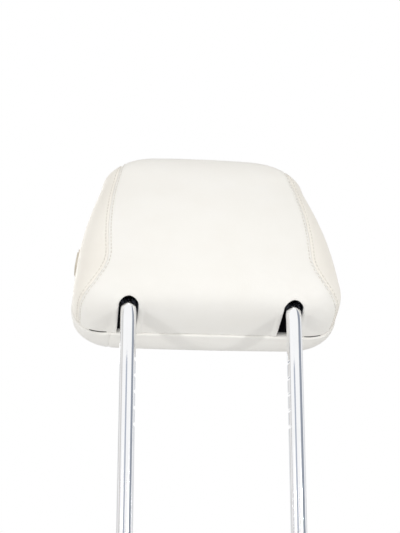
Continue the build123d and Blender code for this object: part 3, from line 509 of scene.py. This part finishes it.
def make_panels(form):
    """The six leather panels by name, and the line of each side seam."""
    whole = bmesh.new()
    whole.from_mesh(form)
    whole.normal_update()
    layer = whole.verts.layers.float_vector.new("outward")
    for v in whole.verts:
        v[layer] = v.normal
    rear, front = whole.copy(), whole
    keep(rear, parting_rear, -1)
    keep(front, parting_front, 1)

    def side(sign):
        return lambda p: sign * p[:, 0]

    def upward(normal):
        return Vector((0, 0, SLOT_FLANGE))

    rear_edge = parting_rear, rolled(REAR_ROLL), turned_in(PARTING_FLANGE)
    front_edge = parting_front, rolled(FRONT_ROLL), turned_in(PARTING_FLANGE)
    side_sewn, rim_sewn = (side_seam, sewn, None), (rim_seam, plain_seam, None)
    back = rear.copy()
    keep(back, side_seam, -1)
    edge = Border(back, near(side_seam))
    lines = {"left": edge.line(-1), "right": edge.line(1)}
    keep(back, slot_edge, 1)
    made = [finish_panel(back, "rear_leather", [side_sewn, rear_edge, (slot_edge, lipped, upward)])]
    for name, sign in (("left", -1), ("right", 1)):
        gusset = rear.copy()
        keep(gusset, side_seam, 1)
        keep(gusset, side(sign), 1)
        kinds = [side_sewn, rear_edge]
        if sign < 0:
            keep(gusset, button_edge, 1)
            kinds.append((button_edge, rolled(BUTTON_ROLL), turned_in(BUTTON_FLANGE)))
        made.append(finish_panel(gusset, name + "_gusset_leather", kinds))
        cheek = front.copy()
        keep(cheek, rim_seam, 1)
        keep(cheek, side(sign), 1)
        made.append(finish_panel(cheek, "front_" + name + "_leather", [rim_sewn, front_edge], FRONT_PROUD))
    keep(front, rim_seam, -1)
    made.append(finish_panel(front, "front_centre_leather", [rim_sewn, front_edge], FRONT_PROUD))
    rear.free()
    return {panel.name: panel for panel in made}, lines


panels, seams = make_panels(swollen_form())
for panel in panels.values():
    face_outward(panel)


# Twin topstitching along the side seams


def even(line, pitch):
    """Points along a line at an even pitch, with the direction at each."""
    p = np.array(line)
    run = np.concatenate(((0,), np.cumsum(np.linalg.norm(np.diff(p, axis=0), axis=1))))
    places = np.arange(pitch / 2, run[-1], pitch)
    at = np.column_stack([np.interp(places, run, p[:, k]) for k in range(3)])
    ahead = np.column_stack([np.interp(places + HALF_STEP, run, p[:, k]) for k in range(3)])
    behind = np.column_stack([np.interp(places - HALF_STEP, run, p[:, k]) for k in range(3)])
    return [(Vector(a), Vector(b - c).normalized()) for a, b, c in zip(at, ahead, behind)]


def stitching(name, line, inner, outer):
    """One seam's two rows of stitches, each a short thread that dips into the leather at its ends."""
    rows = (surface(inner), -1), (surface(outer), 1)
    around, last = STITCH_SIDES, len(STITCH_RINGS) - 1
    points, faces = [], []
    for at, along in even(apply(TO_FRAME, line), STITCH_PITCH * MM):
        normal = rows[0][0].find_nearest(at)[1]
        across = along.cross(normal).normalized()
        across = across if across.x * at.x > 0 else -across
        for tree, side in rows:
            spot, up = tree.find_nearest(at + across * (side * STITCH_OFFSET * MM))[:2]
            up = up if up.dot(normal) > 0 else -up
            ahead = (along - up * along.dot(up)).normalized()
            beside = up.cross(ahead)
            first = len(points)
            for place, thick, lift in STITCH_RINGS:
                centre = spot + ahead * (place * STITCH_LENGTH * MM) + up * (lift * STITCH_RADIUS * MM)
                for k in range(around):
                    turn = 2 * math.pi * k / around
                    ring = beside * math.cos(turn) + up * math.sin(turn)
                    points.append(centre + ring * (thick * STITCH_RADIUS * MM))
            for ring in range(last):
                for k in range(around):
                    a, b = first + ring * around + k, first + ring * around + (k + 1) % around
                    faces.append((a, b, b + around, a + around))
            faces.append(tuple(first + k for k in range(around - 1, -1, -1)))
            faces.append(tuple(first + last * around + k for k in range(around)))
    mesh = bpy.data.meshes.new(name)
    mesh.from_pydata(points, [], faces)
    for f in mesh.polygons:
        f.use_smooth = True
    return new_object(name, mesh)


stitches = [
    stitching(side + "_stitching", seams[side], panels["rear_leather"], panels[side + "_gusset_leather"])
    for side in ("left", "right")
]


# Materials: the scales of their textures, in cells per metre
LEATHER_TONE, LEATHER_GRAIN, LEATHER_PORES, LEATHER_FOLDS = 22, 620, 2200, 70
PLASTIC_TONE, PLASTIC_GRAIN, METAL_TONE, METAL_GRAIN = 60, 1500, 40, 260
FLOOR_TONE, BOARD_TONE = 3, 2

# Where patches are darkest and lightest, the leather's roughness and how far that of plastic varies
PATCH_DARK, PATCH_LIGHT = 0.3, 0.7
LEATHER_ROUGHNESS, PLASTIC_VARIES = (0.56, 0.44), 0.08


def material(name, **values):
    """A new material with its tree and shader; the values are set on the shader's own sockets."""
    made = bpy.data.materials.new(name)
    made.use_nodes = True
    tree = made.node_tree
    shader = tree.nodes["Principled BSDF"]
    for key, value in values.items():
        shader.inputs[key.replace("_", " ").title().replace("Ior", "IOR")].default_value = value
    return made, tree, shader


def texture(tree, kind, scale, **values):
    """A texture over the piece's own coordinates, in cells per metre."""
    place = tree.nodes.get("place") or tree.nodes.new("ShaderNodeTexCoord")
    place.name = "place"
    made = tree.nodes.new(kind)
    made.inputs["Scale"].default_value = scale
    for key, value in values.items():
        made.inputs[key.title()].default_value = value
    tree.links.new(place.outputs["Object"], made.inputs["Vector"])
    return made


def ramp(tree, source, stops):
    """Colours by a source, each stop a place and a colour."""
    made = tree.nodes.new("ShaderNodeValToRGB")
    while len(made.color_ramp.elements) < len(stops):
        made.color_ramp.elements.new(0.5)
    for element, (place, colour) in zip(made.color_ramp.elements, stops):
        element.position = place
        element.color = (*colour, 1)
    tree.links.new(source, made.inputs["Fac"])
    return made.outputs["Color"]


def mottled(tree, scale, detail, light, dark):
    """Two close tones in soft patches."""
    tone = texture(tree, "ShaderNodeTexNoise", scale, detail=detail)
    return ramp(tree, tone.outputs["Fac"], ((PATCH_DARK, dark), (PATCH_LIGHT, light)))


def spread(tree, source, low, high):
    """A source from 0 to 1, brought between two values."""
    made = tree.nodes.new("ShaderNodeMapRange")
    made.inputs["To Min"].default_value = low
    made.inputs["To Max"].default_value = high
    tree.links.new(source, made.inputs["Value"])
    return made.outputs["Result"]


def bump(tree, shader, layers):
    """Bumps in order, each a height source with its strength and depth in metres."""
    last = None
    for source, strength, depth in layers:
        made = tree.nodes.new("ShaderNodeBump")
        made.inputs["Strength"].default_value = strength
        made.inputs["Distance"].default_value = depth
        tree.links.new(source, made.inputs["Height"])
        if last:
            tree.links.new(last, made.inputs["Normal"])
        last = made.outputs["Normal"]
    tree.links.new(last, shader.inputs["Normal"])


def leather(name, light, dark):
    made, tree, shader = material(name, specular_ior_level=0.35)
    tree.links.new(mottled(tree, LEATHER_TONE, 4.0, light, dark), shader.inputs["Base Color"])
    grain = texture(tree, "ShaderNodeTexVoronoi", LEATHER_GRAIN)
    grain.feature = "DISTANCE_TO_EDGE"
    pores = texture(tree, "ShaderNodeTexNoise", LEATHER_PORES, detail=2.0)
    folds = texture(tree, "ShaderNodeTexNoise", LEATHER_FOLDS, detail=3.0)
    roughness = spread(tree, grain.outputs["Distance"], *LEATHER_ROUGHNESS)
    tree.links.new(roughness, shader.inputs["Roughness"])
    bump(
        tree,
        shader,
        (
            (grain.outputs["Distance"], 0.25, 0.0004),
            (pores.outputs["Fac"], 0.12, 0.0002),
            (folds.outputs["Fac"], 0.12, 0.0015),
        ),
    )
    return made


def plastic(name, light, dark, rough):
    made, tree, shader = material(name)
    tree.links.new(mottled(tree, PLASTIC_TONE, 3.0, light, dark), shader.inputs["Base Color"])
    fine = texture(tree, "ShaderNodeTexNoise", PLASTIC_GRAIN, detail=2.0)
    roughness = spread(tree, fine.outputs["Fac"], rough - PLASTIC_VARIES, rough + PLASTIC_VARIES)
    tree.links.new(roughness, shader.inputs["Roughness"])
    bump(tree, shader, ((fine.outputs["Fac"], 0.15, 0.0002),))
    return made


def metal(name, light, dark, low, high):
    made, tree, shader = material(name, metallic=1.0)
    tree.links.new(mottled(tree, METAL_TONE, 3.0, light, dark), shader.inputs["Base Color"])
    fine = texture(tree, "ShaderNodeTexNoise", METAL_GRAIN, detail=4.0)
    tree.links.new(spread(tree, fine.outputs["Fac"], low, high), shader.inputs["Roughness"])
    return made


finishes = {
    "cream_leather": leather("cream_leather", (0.915, 0.902, 0.868), (0.892, 0.874, 0.832)),
    "warm_leather": leather("warm_leather", (0.912, 0.882, 0.822), (0.888, 0.852, 0.785)),
    "thread": plastic("thread", (0.78, 0.75, 0.69), (0.70, 0.67, 0.61), 0.7),
    "chrome": metal("chrome", (0.94, 0.945, 0.955), (0.91, 0.915, 0.925), 0.03, 0.09),
    "black_plastic": plastic("black_plastic", (0.018, 0.018, 0.022), (0.010, 0.010, 0.013), 0.42),
    # Dark plastic whose base colour is lifted to a blue-grey as a painted sheen, on top of the real gloss its low
    # roughness gives
    "gloss_black": plastic("gloss_black", (0.070, 0.075, 0.092), (0.050, 0.054, 0.068), 0.22),
    "bearing_plastic": plastic("bearing_plastic", (0.64, 0.64, 0.60), (0.58, 0.58, 0.54), 0.5),
    "plain_steel": metal("plain_steel", (0.45, 0.45, 0.46), (0.36, 0.36, 0.37), 0.25, 0.4),
    "cream_plastic": plastic("cream_plastic", (0.72, 0.67, 0.58), (0.67, 0.62, 0.53), 0.45),
}


def dress(piece, finish):
    piece.data.materials.clear()
    piece.data.materials.append(finishes[finish])


slots = {s["node"]: s["material_slot"] for s in frame["record"]["subparts"]}
for name, node in nodes.items():
    if slots[name] in finishes and slots[name] != "cream_leather":
        dress(node, slots[name])

# Slot liners: glossy dark plastic, with a painted sheen in their blue-grey base colour
for name in ("left_slot_liner", "right_slot_liner"):
    dress(nodes[name], "gloss_black")

stands_for = {
    "rear_leather": ("rear_cover", "rear_foam"),
    "left_gusset_leather": ("left_gusset",),
    "right_gusset_leather": ("right_gusset",),
    "front_centre_leather": ("front_cover_centre", "front_foam"),
    "front_left_leather": ("front_cover_left",),
    "front_right_leather": ("front_cover_right",),
}
for name, panel in panels.items():
    thick = panel.modifiers.new("thickness", "SOLIDIFY")
    thick.thickness = LEATHER * MM
    thick.offset = -1
    dress(panel, "warm_leather" if "gusset" in name else "cream_leather")
    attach(panel, "pad")
    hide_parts(*stands_for[name])
for row in stitches:
    dress(row, "thread")
    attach(row, "pad")


# The two coil springs, each a copy in a mesh of its own


def spring(name):
    """A copy of a spring in plain steel, which stands in for its CAD node."""
    coil = new_object(name + "_coil", nodes[name].data.copy())
    dress(coil, "plain_steel")
    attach(coil, "pad")
    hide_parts(name)
    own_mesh(coil)


spring("button_spring")
spring("pawl_spring")


# Studio


def plane_object(name, size, height):
    """A level square of the studio."""
    mesh = bpy.data.meshes.new(name)
    half = size / 2
    corners = [(x * half, y * half, height) for x, y in ((-1, -1), (1, -1), (1, 1), (-1, 1))]
    mesh.from_pydata(corners, [], [(0, 1, 2, 3)])
    made = new_object(name, mesh)
    return made


def looked_at(tree):
    """One for what the camera sees, also by way of mirrors or glass, and zero for the light on things."""
    path = tree.nodes.new("ShaderNodeLightPath")
    either = path.outputs["Is Camera Ray"]
    for kind in ("Is Glossy Ray", "Is Transmission Ray"):
        more = tree.nodes.new("ShaderNodeMath")
        more.operation = "MAXIMUM"
        tree.links.new(either, more.inputs[0])
        tree.links.new(path.outputs[kind], more.inputs[1])
        either = more.outputs[0]
    return either


def from_middle(tree):
    """Distance from the object's own origin, in metres."""
    reach = tree.nodes.new("ShaderNodeVectorMath")
    reach.operation = "LENGTH"
    tree.links.new(tree.nodes["place"].outputs["Object"], reach.inputs[0])
    return reach.outputs["Value"]


FLOOR_SIZE, FLOOR_HEIGHT, FLOOR_LIGHT, FLOOR_DARK = 12, -0.004, 0.92, 0.89
FADE_FROM, FADE_TO, FADE_LEAST = 0.5, 3.5, 0.45
floor = plane_object("floor", FLOOR_SIZE, FLOOR_HEIGHT)
floor_finish, floor_tree, floor_shader = material("floor", roughness=0.8)
floor_tone = mottled(floor_tree, FLOOR_TONE, 3.0, (FLOOR_LIGHT,) * 3, (FLOOR_DARK,) * 3)
floor_tree.links.new(floor_tone, floor_shader.inputs["Base Color"])
floor.data.materials.append(floor_finish)

# The floor runs out into the white background, as a sweep does
fade = floor_tree.nodes.new("ShaderNodeMapRange")
fade.interpolation_type = "SMOOTHSTEP"
fade.inputs["From Min"].default_value = FADE_FROM
fade.inputs["From Max"].default_value = FADE_TO
fade.inputs["To Min"].default_value = FADE_LEAST
floor_tree.links.new(from_middle(floor_tree), fade.inputs["Value"])
sweep = floor_tree.nodes.new("ShaderNodeMath")
sweep.operation = "MULTIPLY"
floor_tree.links.new(fade.outputs["Result"], sweep.inputs[0])
floor_tree.links.new(looked_at(floor_tree), sweep.inputs[1])
glow = floor_tree.nodes.new("ShaderNodeEmission")
glow.inputs["Strength"].default_value = 1
floor_mix = floor_tree.nodes.new("ShaderNodeMixShader")
floor_tree.links.new(sweep.outputs[0], floor_mix.inputs["Fac"])
floor_tree.links.new(floor_shader.outputs[0], floor_mix.inputs[1])
floor_tree.links.new(glow.outputs[0], floor_mix.inputs[2])
floor_tree.links.new(floor_mix.outputs[0], floor_tree.nodes["Material Output"].inputs["Surface"])

# The background is white where it is seen, and gives a softer, slightly warm light
FILL_COLOUR, FILL_STRENGTH = (1, 0.99, 0.968, 1), 0.62
world = bpy.data.worlds.new("studio")
scene.world = world
world.use_nodes = True
wt = world.node_tree
wt.nodes.clear()
white = wt.nodes.new("ShaderNodeBackground")
white.inputs["Color"].default_value = (1, 1, 1, 1)
white.inputs["Strength"].default_value = 1
fill = wt.nodes.new("ShaderNodeBackground")
fill.inputs["Color"].default_value = FILL_COLOUR
fill.inputs["Strength"].default_value = FILL_STRENGTH
mix = wt.nodes.new("ShaderNodeMixShader")
wt.links.new(looked_at(wt), mix.inputs["Fac"])
wt.links.new(fill.outputs[0], mix.inputs[1])
wt.links.new(white.outputs[0], mix.inputs[2])
out = wt.nodes.new("ShaderNodeOutputWorld")
wt.links.new(mix.outputs[0], out.inputs["Surface"])


def aimed(name, data, place, target):
    """A lamp or camera at a place, turned towards a target."""
    made = bpy.data.objects.new(name, data)
    scene.collection.objects.link(made)
    made.location = place
    made.rotation_mode = "QUATERNION"
    made.rotation_quaternion = (Vector(target) - Vector(place)).to_track_quat("-Z", "Y")
    return made


def lamp(name, place, target, power, size, beam):
    data = bpy.data.lights.new(name, "AREA")
    data.shape = "DISK"
    data.size = size
    data.energy = power
    data.spread = beam
    aimed(name, data, place, target)


# Two small low lamps behind, which cast the posts' shadows, and two broad soft ones
SIDE_POWER, SIDE_SIZE, SIDE_SPREAD = 0.25, 0.08, math.radians(40)
TOP_POWER, FRONT_POWER, SOFT_SIZE, WIDE = 2.2, 6, 0.9, math.pi
SIDE_TARGET, TOP_TARGET, FRONT_TARGET = (0, 0.03, 0.29), (0, 0.05, 0.3), (0, 0.06, 0.3)
lamp("left_lamp", (-1.05, -0.95, 0.12), SIDE_TARGET, SIDE_POWER, SIDE_SIZE, SIDE_SPREAD)
lamp("right_lamp", (0.87, -1.1, 0.12), SIDE_TARGET, SIDE_POWER, SIDE_SIZE, SIDE_SPREAD)
lamp("top_lamp", (0, -0.4, 1.6), TOP_TARGET, TOP_POWER, SOFT_SIZE, WIDE)
lamp("front_lamp", (-0.6, 1.5, 0.9), FRONT_TARGET, FRONT_POWER, SOFT_SIZE, WIDE)

# Grey boards round the part, for the chrome to mirror
BOARD_DISTANCE, BOARD_HEIGHT, BOARD_TOE, BOARD_TAPER, BOARD_SHADE = 1.0, 2.5, 0.1, 0.25, 0.92
CONTACT_SHADOW_SIZE, CONTACT_SHADOW_HEIGHT = 0.6, -0.002


def only_in_mirrors(made, tones, by_distance=False):
    """Hides a board from all but mirrors; its tones go by a soft noise or by distance from the middle."""
    made.visible_camera = made.visible_diffuse = False
    made.visible_shadow = made.visible_transmission = False
    finish, tree, shader = material(made.name, roughness=1.0, specular_ior_level=0.0)
    source = texture(tree, "ShaderNodeTexNoise", BOARD_TONE, detail=2.0).outputs["Fac"]
    if by_distance:
        source = from_middle(tree)
    shader.inputs["Base Color"].default_value = (0, 0, 0, 1)
    tree.links.new(ramp(tree, source, tones), shader.inputs["Emission Color"])
    shader.inputs["Emission Strength"].default_value = 1
    made.data.materials.append(finish)


def card(name, azimuth, width, tone, height=BOARD_HEIGHT):
    """A tall board with a foot along the floor; azimuth and width in degrees as seen from the middle."""
    turn = math.radians(azimuth)
    outward = Vector((math.sin(turn), -math.cos(turn), 0))
    reach = BOARD_DISTANCE * math.tan(math.radians(width / 2))
    half = Vector((math.cos(turn), math.sin(turn), 0)) * reach
    centre, toe = outward * BOARD_DISTANCE, outward * BOARD_TOE
    top = Vector((0, 0, height))
    corners = [centre - half, centre + half, centre + half + top, centre - half + top]
    corners += [toe - half * BOARD_TAPER, toe + half * BOARD_TAPER]
    mesh = bpy.data.meshes.new(name)
    mesh.from_pydata(corners, [], [(0, 1, 2, 3), (0, 1, 5, 4)])
    made = new_object(name, mesh)
    only_in_mirrors(made, ((PATCH_DARK, [BOARD_SHADE * c for c in tone]), (PATCH_LIGHT, tone)))


card("right_board", 72, 40, (0.32, 0.35, 0.41))
card("far_right_board", 119, 14, (0.60, 0.62, 0.66))
card("front_right_board", 152, 16, (0.40, 0.42, 0.46))
card("front_left_board", -163, 14, (0.46, 0.48, 0.52))
card("far_left_board", -128, 22, (0.64, 0.63, 0.62))
card("left_board", -92, 26, (0.72, 0.71, 0.70))
card("middle_board", -19.5, 20, (0.48, 0.52, 0.61), 0.36)
# A disc on the floor that only mirrors see, darker towards the middle: a painted contact shadow for the posts'
# lower ends to reflect
only_in_mirrors(
    plane_object("foot_board", CONTACT_SHADOW_SIZE, CONTACT_SHADOW_HEIGHT),
    ((0.09, (0.36, 0.37, 0.40)), (0.28, (0.84, 0.84, 0.84))),
    by_distance=True,
)

# Camera: behind, a little to the left and below, as in the photograph
AZIMUTH, ELEVATION, DISTANCE = math.radians(-6.75), math.radians(-15.45), 0.95
TARGET = Vector((-0.0106, 0, 0.2613))
LENS, SENSOR, CLIP_START, CLIP_END = 72, 36, 0.02, 50
back = Vector(
    (
        math.sin(AZIMUTH) * math.cos(ELEVATION),
        -math.cos(AZIMUTH) * math.cos(ELEVATION),
        math.sin(ELEVATION),
    )
)
camera_data = bpy.data.cameras.new("camera")
camera_data.lens, camera_data.sensor_width = LENS, SENSOR
camera_data.clip_start, camera_data.clip_end = CLIP_START, CLIP_END
scene.camera = aimed("camera", camera_data, TARGET + back * DISTANCE, TARGET)
scene.view_settings.view_transform = "Standard"
